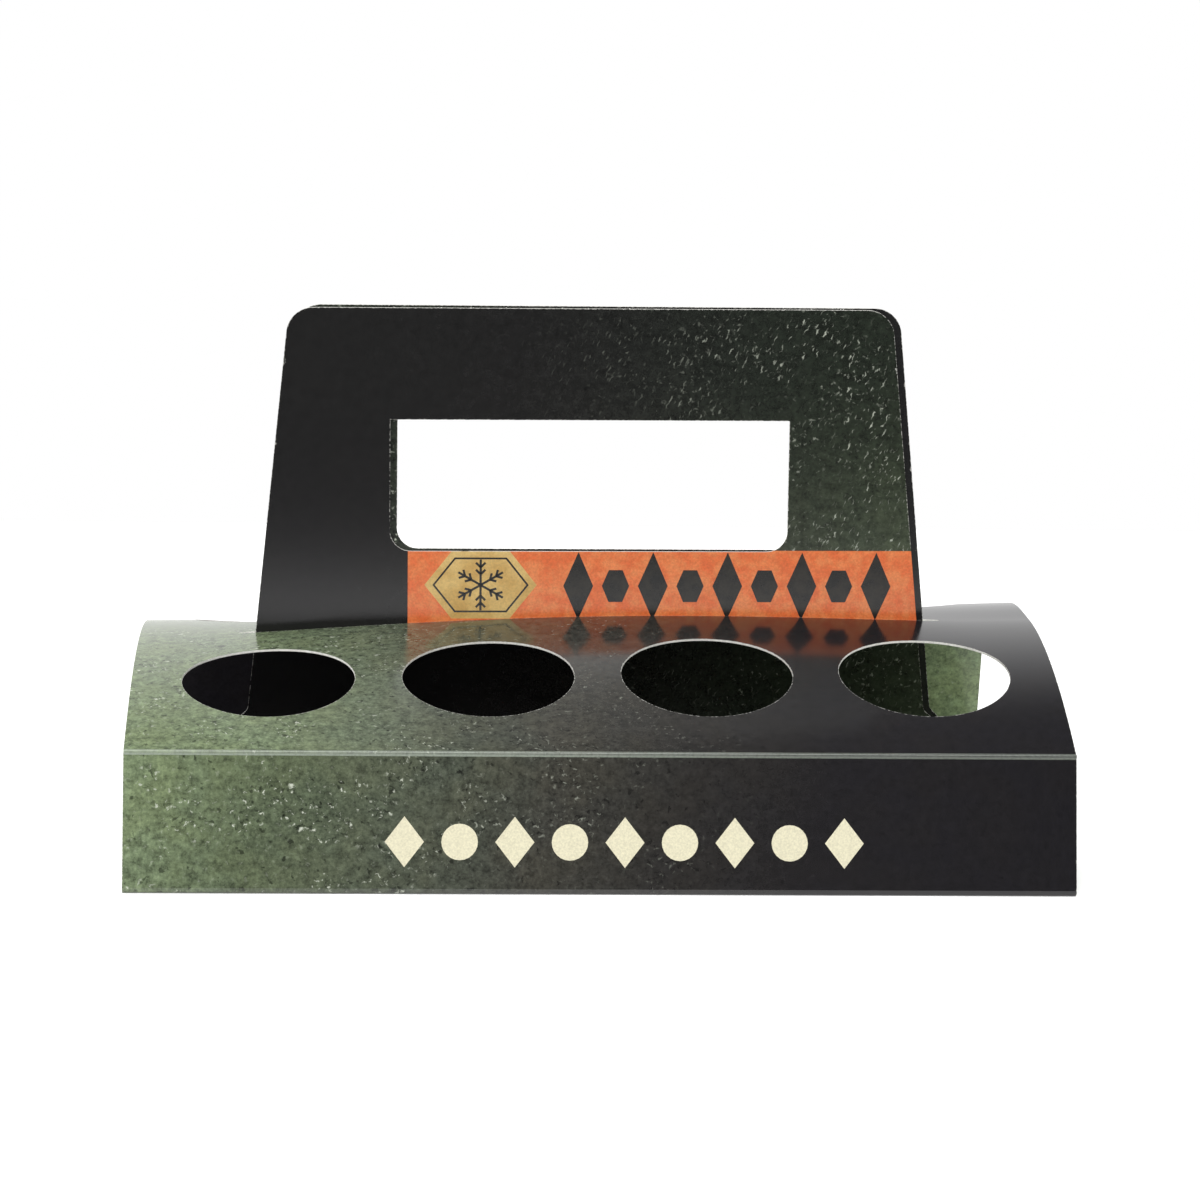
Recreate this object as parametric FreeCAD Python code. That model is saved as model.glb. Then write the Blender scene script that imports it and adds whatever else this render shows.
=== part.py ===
import FreeCAD, Part
import math
import os

# Cardboard cup carrier, folded from one sheet of printed board.
# Frame: +X to the right, +Y to the back, +Z up, origin at the middle of the base.
# The strip runs from the top of the front ply down to the floor, forward to the front
# wall, over the arch to the rear wall, and back along the floor up to the rear ply.

# Sheet
board = 0.5               # thickness
width = 215.0             # of the whole strip, from end to end
fold_radius = 0.75        # inside the folds that meet the floor
bead_proud = 0.3          # how far the raised crease of a top fold stands out

# Box under the arch
base_depth = 158.4        # on the floor, front to back
wall_height = 30.9        # floor to the middle of the top fold
wall_lean = 7.6           # how far each wall leans in by there

# Arched top panel, heights above the top folds
left_rise = 12.1
right_rise = 17.7         # the sheet bulges more at this end
lip_rise = 2.9            # what the plies push the slit up by, at mid width
lip_reach = 95.0          # half the length over which they do
left_power = 2.0          # shape of the arch at its left end: 2 is a parabola
right_power = 1.88        # and at its right end
lip_power = 1.55          # and at the slit, where the flanks are straighter
rear_bulge = 2.2          # extra height of the rear half at the right end

# Cup holes
hole_diameter = 40.0
hole_pitch = 50.9
holes_per_row = 4
hole_setback = 35.5       # from the top fold to a hole's centre, along the panel
hole_shift = 0.5          # of both rows, to the right

# Slit in the crest
slit_tip = 0.6            # its width at the two tips
slit_clearance = 0.15     # to the plies, on each side
slit_margin = 0.8         # how far it stays at full width past the plies
slit_run_out = 4.0        # how far its tips lie past them

# Handle plies
ply_gap = 0.3             # air between the two
shoulder_base = 2.5       # height of the centre wall at the two ends
neck_height = 26.0        # where the shoulders end
neck_width = 163.8
neck_radius = 2.0
top_width = 143.8
handle_height = 123.4
top_radius = 6.5
front_tilt = 0.36         # degrees that the front ply leans to the left
rear_tilt = 0.25
rear_shift = 1.7          # the rear ply stands to the right of the front one
rear_lift = 0.5           # and higher

# Hand hole in each ply
hand_width = 95.6
hand_bottom = 64.8
hand_top = 96.65
hand_radius = 5.0         # at its lower corners; the upper ones are sharp

fold_y = base_depth / 2 - wall_lean
hand_middle = (hand_bottom + hand_top) / 2
ply_outside = ply_gap / 2 + board
stub_height = board + 2 * fold_radius
bead_radius = board / 2 + bead_proud
crest_height = wall_height + max(left_rise, right_rise)


def rounded_face(corners, radii):
    """A flat face with the given corners, each rounded by its own radius."""
    stretches = []
    for i, corner in enumerate(corners):
        if radii[i] == 0:
            stretches.append((corner, None, corner))
            continue
        back = (corners[i - 1] - corner).normalize()
        ahead = (corners[(i + 1) % len(corners)] - corner).normalize()
        half_angle = back.getAngle(ahead) / 2
        tangent = radii[i] / math.tan(half_angle)
        bisector = (back + ahead).normalize()
        middle = corner + bisector * (radii[i] / math.sin(half_angle) - radii[i])
        stretches.append((corner + back * tangent, middle, corner + ahead * tangent))
    edges = []
    for i, (start, middle, end) in enumerate(stretches):
        if middle is not None:
            edges.append(Part.Arc(start, middle, end).toShape())
        next_start = stretches[(i + 1) % len(stretches)][0]
        edges.append(Part.LineSegment(end, next_start).toShape())
    return Part.Face(Part.Wire(edges))


def floor_and_wall(side):
    """Half the floor and its outer wall, with the fold up to the centre wall.

    side is -1 for the front half and 1 for the rear half."""
    lean = math.atan2(wall_lean, wall_height)
    half_board = board / 2
    inward = (math.cos(lean), math.sin(lean))
    foot_inside = base_depth / 2 - board * (math.tan(lean) + 1 / math.cos(lean))
    profile = [
        (ply_gap / 2, stub_height, 0),
        (ply_gap / 2, 0, fold_radius + board),
        (base_depth / 2, 0, fold_radius + board),
        (fold_y + half_board * inward[0], wall_height + half_board * inward[1], 0),
        (fold_y - half_board * inward[0], wall_height - half_board * inward[1], 0),
        (foot_inside, board, fold_radius),
        (ply_outside, board, fold_radius),
        (ply_outside, stub_height, 0),
    ]
    corners = [FreeCAD.Vector(-width / 2, side * y, z) for y, z, radius in profile]
    radii = [radius for y, z, radius in profile]
    panels = rounded_face(corners, radii).extrude(FreeCAD.Vector(width, 0, 0))
    start = FreeCAD.Vector(-width / 2, side * fold_y, wall_height)
    bead = Part.makeCylinder(bead_radius, width, start, FreeCAD.Vector(1, 0, 0))
    return panels.fuse(bead)


def handle_ply(side, tilt, shift, lift):
    """One centre wall with its shoulders, neck, handle and hand hole."""
    turn = math.radians(tilt)

    def placed(x, z):
        rise = z - hand_middle
        across = x * math.cos(turn) - rise * math.sin(turn) + shift
        up = x * math.sin(turn) + rise * math.cos(turn) + hand_middle + lift
        return FreeCAD.Vector(across, side * ply_gap / 2, up)

    def foot(x, z):
        return FreeCAD.Vector(x, side * ply_gap / 2, z)

    outline = [
        foot(-width / 2, stub_height),
        foot(width / 2, stub_height),
        foot(width / 2, shoulder_base),
        placed(neck_width / 2, neck_height),
        placed(top_width / 2, handle_height),
        placed(-top_width / 2, handle_height),
        placed(-neck_width / 2, neck_height),
        foot(-width / 2, shoulder_base),
    ]
    radii = [0, 0, 0, neck_radius, top_radius, top_radius, neck_radius, 0]
    hand_hole = [
        placed(-hand_width / 2, hand_bottom),
        placed(hand_width / 2, hand_bottom),
        placed(hand_width / 2, hand_top),
        placed(-hand_width / 2, hand_top),
    ]
    sheet = rounded_face(outline, radii)
    opening = rounded_face(hand_hole, [hand_radius, hand_radius, 0, 0])
    return sheet.cut(opening).extrude(FreeCAD.Vector(0, side * board, 0))


def arch_height(x, y):
    """Height of the middle of the arched sheet above the floor."""
    across = x / width + 0.5
    rise = left_rise + (right_rise - left_rise) * across
    push = max(0.0, 1 - (x / lip_reach) ** 2) ** 1.5
    from_crest = min(1.0, abs(y) / fold_y)
    end_power = left_power + (right_power - left_power) * across
    resting = rise * (1 - from_crest ** end_power)
    pushed = (rise + lip_rise) * (1 - from_crest ** lip_power)
    height = wall_height + (1 - push) * resting + push * pushed
    if y > 0:
        height += rear_bulge * across ** 2 * 16 * (from_crest * (1 - from_crest)) ** 2
    return height


def arch_normal(x, y):
    """Unit normal of the arch, in the section across the strip."""
    step = 0.05
    low = max(-fold_y, y - step)
    high = min(fold_y, y + step)
    slope = (arch_height(x, high) - arch_height(x, low)) / (high - low)
    return FreeCAD.Vector(0, -slope, 1).normalize()


def arch_panel():
    """The arched top before its holes and slit are cut."""
    stations_across = 17
    stations_along = 25
    faces = []
    for face_side in (1, -1):
        rows = []
        for i in range(stations_across):
            x = width * (i / (stations_across - 1) - 0.5)
            row = []
            for j in range(stations_along):
                y = fold_y * (2 * j / (stations_along - 1) - 1)
                middle = FreeCAD.Vector(x, y, arch_height(x, y))
                row.append(middle + arch_normal(x, y) * (face_side * board / 2))
            rows.append(row)
        surface = Part.BSplineSurface()
        surface.interpolate(rows)
        faces.append(surface)
    outside, inside = faces
    shell = [outside.toShape(), inside.toShape()]
    for parameter in outside.bounds()[:2]:
        pair = (outside.uIso(parameter).toShape(), inside.uIso(parameter).toShape())
        shell.append(Part.makeRuledSurface(*pair))
    for parameter in outside.bounds()[2:]:
        pair = (outside.vIso(parameter).toShape(), inside.vIso(parameter).toShape())
        shell.append(Part.makeRuledSurface(*pair))
    sewn = Part.makeShell(shell)
    sewn.sewShape()
    return Part.makeSolid(sewn)


def hole_middle(x, side):
    """The point of the arch at the hole's setback along the sheet from the fold."""
    step = 0.1
    travelled = 0.0
    y = fold_y
    while travelled < hole_setback:
        rise = arch_height(x, side * (y - step)) - arch_height(x, side * y)
        travelled += math.hypot(step, rise)
        y -= step
    return FreeCAD.Vector(x, side * y, arch_height(x, side * y))


def cup_holes():
    """Cutters for the two rows of round holes, each square to the sheet there."""
    depth = 4 * bead_radius + hole_diameter / 4
    cutters = []
    for side in (-1, 1):
        for i in range(holes_per_row):
            x = hole_shift + hole_pitch * (i - (holes_per_row - 1) / 2)
            middle = hole_middle(x, side)
            axis = arch_normal(x, middle.y)
            start = middle - axis * (depth / 2)
            cutters.append(Part.makeCylinder(hole_diameter / 2, depth, start, axis))
    return cutters


def slit():
    """Cutter for the slit, wide along the plies and narrow at its tips."""
    taper = (neck_width - top_width) / 2 / (handle_height - neck_height)
    ply_reach = neck_width / 2 - taper * (crest_height - neck_height)
    left_ply = min(0.0, rear_shift) - ply_reach
    right_ply = max(0.0, rear_shift) + ply_reach
    half_slit = ply_outside + slit_clearance
    half_tip = slit_tip / 2
    corners = [
        (left_ply - slit_run_out, -half_tip),
        (left_ply - slit_margin, -half_slit),
        (right_ply + slit_margin, -half_slit),
        (right_ply + slit_run_out, -half_tip),
        (right_ply + slit_run_out, half_tip),
        (right_ply + slit_margin, half_slit),
        (left_ply - slit_margin, half_slit),
        (left_ply - slit_run_out, half_tip),
    ]
    outline = [FreeCAD.Vector(x, y, wall_height) for x, y in corners]
    height = crest_height + lip_rise + board + rear_bulge - wall_height
    return rounded_face(outline, [0] * len(outline)).extrude(FreeCAD.Vector(0, 0, height))


def carrier_sheet():
    arch = arch_panel().cut(cup_holes() + [slit()])
    front = floor_and_wall(-1).fuse(handle_ply(-1, front_tilt, 0, 0))
    rear = floor_and_wall(1).fuse(handle_ply(1, rear_tilt, rear_shift, rear_lift))
    return arch.fuse([front, rear]).removeSplitter()


sheet = carrier_sheet()
if len(sheet.Solids) != 1 or not sheet.isValid():
    raise RuntimeError("the folded sheet is not one valid solid")
os.makedirs("parts", exist_ok=True)
sheet.Solids[0].exportStep("parts/carrier_sheet.step")
box = sheet.BoundBox
print("carrier_sheet", round(box.XLength, 2), round(box.YLength, 2), round(box.ZLength, 2))
print("board area", round(sheet.Volume / board / 100, 1), "square centimetres")
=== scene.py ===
# Cardboard cup carrier, folded from one printed and varnished sheet of board.
# The sheet is drawn flat, as the cutting die leaves it, and each point is then folded into place.
import math

import bmesh
import bpy
import numpy as np
from mathutils import Matrix, Vector, geometry, kdtree


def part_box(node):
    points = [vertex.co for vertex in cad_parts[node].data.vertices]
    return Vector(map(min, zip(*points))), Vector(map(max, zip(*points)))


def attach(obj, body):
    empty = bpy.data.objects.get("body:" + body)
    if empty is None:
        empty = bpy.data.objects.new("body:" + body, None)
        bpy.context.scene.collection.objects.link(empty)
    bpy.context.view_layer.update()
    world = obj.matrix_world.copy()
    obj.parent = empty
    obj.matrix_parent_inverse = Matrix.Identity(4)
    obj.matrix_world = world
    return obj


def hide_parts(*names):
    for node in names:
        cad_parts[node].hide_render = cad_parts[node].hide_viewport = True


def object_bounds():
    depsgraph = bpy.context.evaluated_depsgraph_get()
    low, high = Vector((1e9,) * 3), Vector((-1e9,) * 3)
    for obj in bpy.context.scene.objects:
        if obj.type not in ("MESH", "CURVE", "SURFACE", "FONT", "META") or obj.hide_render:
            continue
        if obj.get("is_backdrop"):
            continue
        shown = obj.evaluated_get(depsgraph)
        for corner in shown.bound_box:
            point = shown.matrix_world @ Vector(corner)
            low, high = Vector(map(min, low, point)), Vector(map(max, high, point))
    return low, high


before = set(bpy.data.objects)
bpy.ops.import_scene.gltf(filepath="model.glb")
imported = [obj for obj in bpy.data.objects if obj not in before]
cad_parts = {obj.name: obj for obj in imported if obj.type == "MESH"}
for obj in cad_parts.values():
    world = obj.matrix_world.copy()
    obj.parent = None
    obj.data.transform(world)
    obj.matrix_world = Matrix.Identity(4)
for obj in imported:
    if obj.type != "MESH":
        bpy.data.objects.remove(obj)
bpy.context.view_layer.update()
sheetLow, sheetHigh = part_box("carrier_sheet")
print("frame loaded")

mm = 0.001

# The folded sheet, in millimetres, as in the part's source
sheet = {
    "width": (sheetHigh[0] - sheetLow[0]) / mm,
    "board": 0.5,
    "foldRadius": 0.75,
    "beadProud": 0.3,
    "baseDepth": 158.4,
    "wallHeight": 30.9,
    "wallLean": 7.6,
    "leftRise": 12.1,
    "rightRise": 17.7,
    "lipRise": 2.9,
    "lipReach": 95.0,
    "leftPower": 2.0,
    "rightPower": 1.88,
    "lipPower": 1.55,
    "rearBulge": 2.2,
    "holeDiameter": 40.0,
    "holePitch": 50.9,
    "holesPerRow": 4,
    "holeSetback": 35.5,
    "holeShift": 0.5,
    "slitTip": 0.6,
    "slitClearance": 0.15,
    "slitMargin": 0.8,
    "slitRunOut": 4.0,
    "plyGap": 0.3,
    "shoulderBase": 2.5,
    "neckHeight": 26.0,
    "neckWidth": 163.8,
    "neckRadius": 2.0,
    "topWidth": 143.8,
    "handleHeight": 123.4,
    "topRadius": 6.5,
    "tilt": {-1: 0.36, 1: 0.25},      # degrees, of the front (-1) and rear (1) ply
    "shift": {-1: 0.0, 1: 1.7},
    "lift": {-1: 0.0, 1: 0.5},
    "handWidth": 95.6,
    "handBottom": 64.8,
    "handTop": 96.65,
    "handRadius": 5.0,
    "archStep": 2.2,                  # spacing of the mesh on the arch and across the strip
    "flatStep": 5.0,                  # spacing along the strip on flat panels
    "edgeStep": 1.0,                  # spacing round the holes and corners
    "bendStep": 0.12,                 # spacing round the bends at the floor
    "beadStep": 0.09,                 # and over the raised crease of a top fold
    "edgeClear": 0.75,                # how far the grid's points stay away from every edge
    "bendClear": 0.5,                 # and at the bends
    "edgeBand": 0.28,                 # width of the band beside a cut edge where the print chips
}

halfWidth = sheet["width"] / 2
halfBoard = sheet["board"] / 2
foldY = sheet["baseDepth"] / 2 - sheet["wallLean"]
cutLean = math.atan2(sheet["wallLean"], sheet["wallHeight"])
footY = sheet["baseDepth"] / 2 - halfBoard * (math.tan(cutLean) + 1 / math.cos(cutLean))
lean = math.atan2(footY - foldY, sheet["wallHeight"] - halfBoard)
plyMiddle = sheet["plyGap"] / 2 + halfBoard
bendRadius = sheet["foldRadius"] + halfBoard
beadRadius = halfBoard + sheet["beadProud"]
beadReach = math.sqrt(beadRadius ** 2 - halfBoard ** 2)
beadSpread = math.atan2(halfBoard, beadReach)
handMiddle = (sheet["handBottom"] + sheet["handTop"]) / 2

# Lengths along the strip on either side, from the crest (0) up to the top edge of a ply
footTurn = math.pi / 2 + lean
footTangent = bendRadius * math.tan(footTurn / 2)
archRun = 74.0                                   # nominal: the real length varies along the crest
foldV = archRun
footV = foldV + math.hypot(footY - foldY, sheet["wallHeight"] - halfBoard) - footTangent
floorV = footV + bendRadius * footTurn
heelV = floorV + footY - footTangent - plyMiddle - bendRadius
plyV = heelV + bendRadius * math.pi / 2
plyZ = halfBoard + bendRadius                    # height at which the ply stands upright


def archHeight(x, y):
    # middle of the arched sheet above the floor
    across = x / sheet["width"] + 0.5
    rise = sheet["leftRise"] + (sheet["rightRise"] - sheet["leftRise"]) * across
    push = np.clip(1 - (x / sheet["lipReach"]) ** 2, 0, 1) ** 1.5
    fromCrest = np.clip(np.abs(y) / foldY, 0, 1)
    endPower = sheet["leftPower"] + (sheet["rightPower"] - sheet["leftPower"]) * across
    resting = rise * (1 - fromCrest ** endPower)
    pushed = (rise + sheet["lipRise"]) * (1 - fromCrest ** sheet["lipPower"])
    bulge = sheet["rearBulge"] * across ** 2 * 16 * (fromCrest * (1 - fromCrest)) ** 2
    return sheet["wallHeight"] + (1 - push) * resting + push * pushed + np.where(y > 0, bulge, 0)


def archSlope(x, y):
    step = 0.05
    low = np.maximum(-foldY, y - step)
    high = np.minimum(foldY, y + step)
    return (archHeight(x, high) - archHeight(x, low)) / (high - low)


def arcTable(side):
    # length along the sheet from the top fold, for a grid of places on half the arch
    x = np.linspace(-halfWidth, halfWidth, 109)  # about 2 mm apart
    y = np.linspace(foldY, 0, 361)               # about 0.2 mm apart
    gridX, gridY = np.meshgrid(x, y, indexing="ij")
    steps = np.hypot(np.diff(gridY, axis=1), np.diff(archHeight(gridX, side * gridY), axis=1))
    lengths = np.concatenate([np.zeros((len(x), 1)), np.cumsum(steps, axis=1)], axis=1)
    return x, y, lengths


arcTables = {side: arcTable(side) for side in (-1, 1)}


def readTable(side, u, value, wantLength):
    # wantLength: value is a distance from the middle plane, else it is a length from the fold
    x, y, lengths = arcTables[side]
    place = np.clip((u - x[0]) / (x[1] - x[0]), 0, len(x) - 1.001)
    row = place.astype(int)
    result = np.empty_like(value)
    for k in np.unique(row):
        chosen = row == k
        pair = []
        for j in (k, k + 1):
            if wantLength:
                pair.append(np.interp(value[chosen], y[::-1], lengths[j][::-1]))
            else:
                pair.append(np.interp(value[chosen], lengths[j], y))
        blend = place[chosen] - k
        result[chosen] = pair[0] * (1 - blend) + pair[1] * blend
    return result


def stripFromLength(side, u, length):
    # strip coordinate of points at this real length from the top fold, up the arch
    whole = readTable(side, u, np.zeros_like(u), True)
    return side * (foldV - length * archRun / whole)


def foldUp(u, v, face):
    # u across the strip, v along it; face is 1 for the outside of the sheet, -1 for the inside
    side = np.where(v < 0, -1, 1)
    a = np.abs(v)
    out = np.zeros(len(u))                       # distance from the middle plane
    up = np.zeros(len(u))
    normalOut = np.zeros(len(u))
    normalUp = np.zeros(len(u))

    whole = np.zeros(len(u))
    for s in (-1, 1):
        chosen = side == s
        whole[chosen] = readTable(s, u[chosen], np.zeros(chosen.sum()), True)
    length = (foldV - a) * whole / archRun
    arch = (a < foldV) & (length >= beadReach)
    for s in (-1, 1):
        chosen = arch & (side == s)
        y = readTable(s, u[chosen], length[chosen], False)
        slope = s * archSlope(u[chosen], s * y)
        size = np.sqrt(1 + slope ** 2)
        out[chosen] = y
        up[chosen] = archHeight(u[chosen], s * y)
        normalOut[chosen] = -slope / size
        normalUp[chosen] = 1 / size

    # bead of the top fold: an arc round the fold line on each face of the sheet
    bead = (length < beadReach) & (a < foldV + beadReach)
    start = foldV - beadReach * archRun / whole
    along = np.clip((a - start) / (foldV + beadReach - start), 0, 1)
    flank = -side * archSlope(u, side * foldY * 0.9999)
    first = math.pi - np.arctan(flank) - face * beadSpread
    last = math.pi / 2 + lean - face * (math.pi - beadSpread)
    turn = first + (last - first) * along
    out[bead] = foldY
    up[bead] = sheet["wallHeight"]
    beadOut = np.cos(turn)
    beadUp = np.sin(turn)

    wall = (a >= foldV + beadReach) & (a < footV)
    out[wall] = foldY + (a[wall] - foldV) * math.sin(lean)
    up[wall] = sheet["wallHeight"] - (a[wall] - foldV) * math.cos(lean)
    normalOut[wall] = math.cos(lean)
    normalUp[wall] = math.sin(lean)

    # the bends at both ends of the floor: start, end, first angle and centre
    bends = (
        (footV, floorV, lean, footY - footTangent),
        (heelV, plyV, -math.pi / 2, plyMiddle + bendRadius),
    )
    for start, end, angle, centre in bends:
        bend = (a >= start) & (a < end)
        turned = angle - (a[bend] - start) / bendRadius
        normalOut[bend] = np.cos(turned)
        normalUp[bend] = np.sin(turned)
        out[bend] = centre + bendRadius * np.cos(turned)
        up[bend] = plyZ + bendRadius * np.sin(turned)

    floor = (a >= floorV) & (a < heelV)
    out[floor] = footY - footTangent - (a[floor] - floorV)
    up[floor] = halfBoard
    normalUp[floor] = -1

    ply = a >= plyV
    out[ply] = plyMiddle
    up[ply] = plyZ + a[ply] - plyV
    normalOut[ply] = -1

    out += normalOut * face * halfBoard
    up += normalUp * face * halfBoard
    normalOut *= face
    normalUp *= face
    out[bead] += beadOut[bead] * beadRadius
    up[bead] += beadUp[bead] * beadRadius
    normalOut[bead] = beadOut[bead]
    normalUp[bead] = beadUp[bead]
    points = np.stack([u, side * out, up], axis=1) * mm
    normals = np.stack([np.zeros(len(u)), side * normalOut, normalUp], axis=1)
    return points, normals


def roundedLoop(corners, radii, step):
    # closed outline through the corners, with arcs where a radius is given
    corners = [Vector(c) for c in corners]
    stretches = []
    for i, corner in enumerate(corners):
        if radii[i] == 0:
            stretches.append([corner])
            continue
        back = (corners[i - 1] - corner).normalized()
        ahead = (corners[(i + 1) % len(corners)] - corner).normalized()
        half = back.angle(ahead) / 2
        centre = corner + (back + ahead).normalized() * (radii[i] / math.sin(half))
        first = corner + back * (radii[i] / math.tan(half)) - centre
        last = corner + ahead * (radii[i] / math.tan(half)) - centre
        sweep = math.atan2(first.cross(last), first.dot(last))
        count = max(3, round(abs(sweep) * radii[i] / (step * 0.6)))
        arc = []
        for k in range(count + 1):
            angle = sweep * k / count
            arc.append(centre + Matrix.Rotation(angle, 2) @ first)
        stretches.append(arc)
    loop = []
    for i, stretch in enumerate(stretches):
        loop += stretch
        end = stretch[-1]
        nextStart = stretches[(i + 1) % len(stretches)][0]
        count = max(1, round((nextStart - end).length / (step * 2)))
        loop += [end.lerp(nextStart, k / count) for k in range(1, count)]
    return [(p.x, p.y) for p in loop]


def onPly(side, x, z):
    # a point of the handle, with the small tilt, shift and lift of that ply
    turn = math.radians(sheet["tilt"][side])
    rise = z - handMiddle
    across = x * math.cos(turn) - rise * math.sin(turn) + sheet["shift"][side]
    height = x * math.sin(turn) + rise * math.cos(turn) + handMiddle + sheet["lift"][side]
    return across, side * (plyV + height - plyZ)


def spread(start, end, step):
    count = max(1, round(abs(end - start) / step))
    return [start + (end - start) * k / count for k in range(count)]


def stripRows():
    # places along half the strip that carry a row of points
    reach = 1.2 * beadReach
    stretches = (
        (0, foldV - reach, sheet["archStep"]),
        (foldV - reach, foldV + reach, sheet["beadStep"]),
        (foldV + reach, footV, sheet["flatStep"]),
        (footV, floorV, sheet["bendStep"]),
        (floorV, heelV, sheet["flatStep"] * 1.2),
        (heelV, plyV, sheet["bendStep"]),
        (plyV, plyV + sheet["handleHeight"], sheet["flatStep"]),
    )
    return [place for stretch in stretches for place in spread(*stretch)]


def blankOutline(rows):
    # edge of the blank, counter-clockwise: left edge, front ply, right edge, rear ply
    baseA = plyV + sheet["shoulderBase"] - plyZ
    edgeRows = [a for a in rows if a < baseA - 0.4]
    neck = sheet["neckWidth"] / 2
    top = sheet["topWidth"] / 2
    radii = [0, sheet["neckRadius"], sheet["topRadius"], sheet["topRadius"], sheet["neckRadius"], 0]
    loop = []
    for side in (-1, 1):
        corners = [
            (side * halfWidth, side * baseA),
            onPly(side, side * neck, sheet["neckHeight"]),
            onPly(side, side * top, sheet["handleHeight"]),
            onPly(side, -side * top, sheet["handleHeight"]),
            onPly(side, -side * neck, sheet["neckHeight"]),
            (-side * halfWidth, side * baseA),
        ]
        handle = roundedLoop(corners, radii, sheet["edgeStep"])
        while abs(handle[-1][1]) < baseA + 1e-6:
            handle.pop()
        loop += [(side * halfWidth, side * a) for a in edgeRows]
        loop += handle + [(-side * halfWidth, side * baseA)]
        loop += [(-side * halfWidth, side * a) for a in reversed(edgeRows) if a > 0]
    return loop


def handHole(side):
    half, low, high = sheet["handWidth"] / 2, sheet["handBottom"], sheet["handTop"]
    corners = [onPly(side, x, z) for x, z in ((-half, low), (half, low), (half, high), (-half, high))]
    return roundedLoop(corners, [sheet["handRadius"], sheet["handRadius"], 0, 0], sheet["edgeStep"])


def cupHole(side, index):
    middle = sheet["holeShift"] + sheet["holePitch"] * (index - (sheet["holesPerRow"] - 1) / 2)
    radius = sheet["holeDiameter"] / 2
    angle = np.linspace(0, 2 * math.pi, round(2 * math.pi * radius / sheet["edgeStep"]), endpoint=False)
    u = middle + radius * np.cos(angle)
    v = stripFromLength(side, u, sheet["holeSetback"] + radius * np.sin(angle))
    return list(zip(u, v))


def slitLoop():
    taper = (sheet["neckWidth"] - sheet["topWidth"]) / 2 / (sheet["handleHeight"] - sheet["neckHeight"])
    crest = sheet["wallHeight"] + max(sheet["leftRise"], sheet["rightRise"])
    reach = sheet["neckWidth"] / 2 - taper * (crest - sheet["neckHeight"])
    left = -reach
    right = reach + sheet["shift"][1]
    wide = plyMiddle + halfBoard + sheet["slitClearance"]
    tip = sheet["slitTip"] / 2
    margin, runOut = sheet["slitMargin"], sheet["slitRunOut"]
    front = [(left - runOut, -tip), (left - margin, -wide), (right + margin, -wide), (right + runOut, -tip)]
    corners = front + [(x, -y) for x, y in reversed(front)]
    loop = []
    for u, y in roundedLoop(corners, [0] * len(corners), sheet["edgeStep"]):
        side = -1 if y < 0 else 1
        length = readTable(side, np.array([u]), np.array([abs(y)]), True)
        loop.append((u, stripFromLength(side, np.array([u]), length)[0]))
    return loop


def insideLoop(points, loop):
    # even-odd rule
    inside = np.zeros(len(points), bool)
    px, py = points[:, 0], points[:, 1]
    for i, (x1, y1) in enumerate(loop):
        x0, y0 = loop[i - 1]
        if y0 == y1:
            continue
        crosses = (y0 > py) != (y1 > py)
        inside ^= crosses & (px < (x1 - x0) * (py - y0) / (y1 - y0) + x0)
    return inside


def insetLoop(loop, distance):
    # the same loop moved to the left of its direction, which is into the board
    points = np.array(loop)
    ahead = np.roll(points, -1, 0) - points
    back = points - np.roll(points, 1, 0)
    ahead /= np.linalg.norm(ahead, axis=1)[:, None]
    back /= np.linalg.norm(back, axis=1)[:, None]
    middle = ahead + back
    middle /= np.linalg.norm(middle, axis=1)[:, None]
    left = np.stack([-middle[:, 1], middle[:, 0]], axis=1)
    square = np.stack([-ahead[:, 1], ahead[:, 0]], axis=1)
    stretch = 1 / np.maximum(0.6, (left * square).sum(1))
    return points + left * (distance * stretch)[:, None]


bandPrint = {
    "left": -43.5,                    # on the front ply, in millimetres from its middle
    "bottom": 44.6,                   # just under the slit
    "top": 65.1,
    "plaqueMiddle": (-26.0, 56.6),
    "plaqueWidth": 27.0,
    "plaqueHeight": 16.4,
    "plaquePoint": 6.5,               # how far its two ends taper
    "outlineInset": 1.5,
    "outlineWidth": 0.45,
}


def plaqueLoop(inset):
    # elongated hexagon, moved inwards all round
    middleX, middleZ = bandPrint["plaqueMiddle"]
    halfHeight = bandPrint["plaqueHeight"] / 2 - inset
    point = bandPrint["plaquePoint"]
    slant = math.atan2(bandPrint["plaqueHeight"] / 2, point)
    halfLength = bandPrint["plaqueWidth"] / 2 - inset / math.sin(slant)
    shoulder = halfLength - point * halfHeight / (bandPrint["plaqueHeight"] / 2)
    corners = [(-halfLength, 0), (-shoulder, -halfHeight), (shoulder, -halfHeight)]
    corners += [(halfLength, 0), (shoulder, halfHeight), (-shoulder, halfHeight)]
    places = [onPly(-1, middleX + x, middleZ + z) for x, z in corners]
    return roundedLoop(places, [0] * 6, sheet["edgeStep"])


def printAreas():
    # loops on the front ply's face towards the viewer, each with its material slot
    left, bottom, top = bandPrint["left"], bandPrint["bottom"], bandPrint["top"]
    beyond = sheet["neckWidth"] / 2 + 4
    corners = ((left, bottom), (beyond, bottom), (beyond, top), (left, top))
    band = roundedLoop([onPly(-1, x, z) for x, z in corners], [0] * 4, sheet["edgeStep"])
    line = bandPrint["outlineInset"]
    return [
        (band, 3),
        (plaqueLoop(0), 4),
        (plaqueLoop(line), 5),
        (plaqueLoop(line + bandPrint["outlineWidth"]), 4),
    ]


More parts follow.
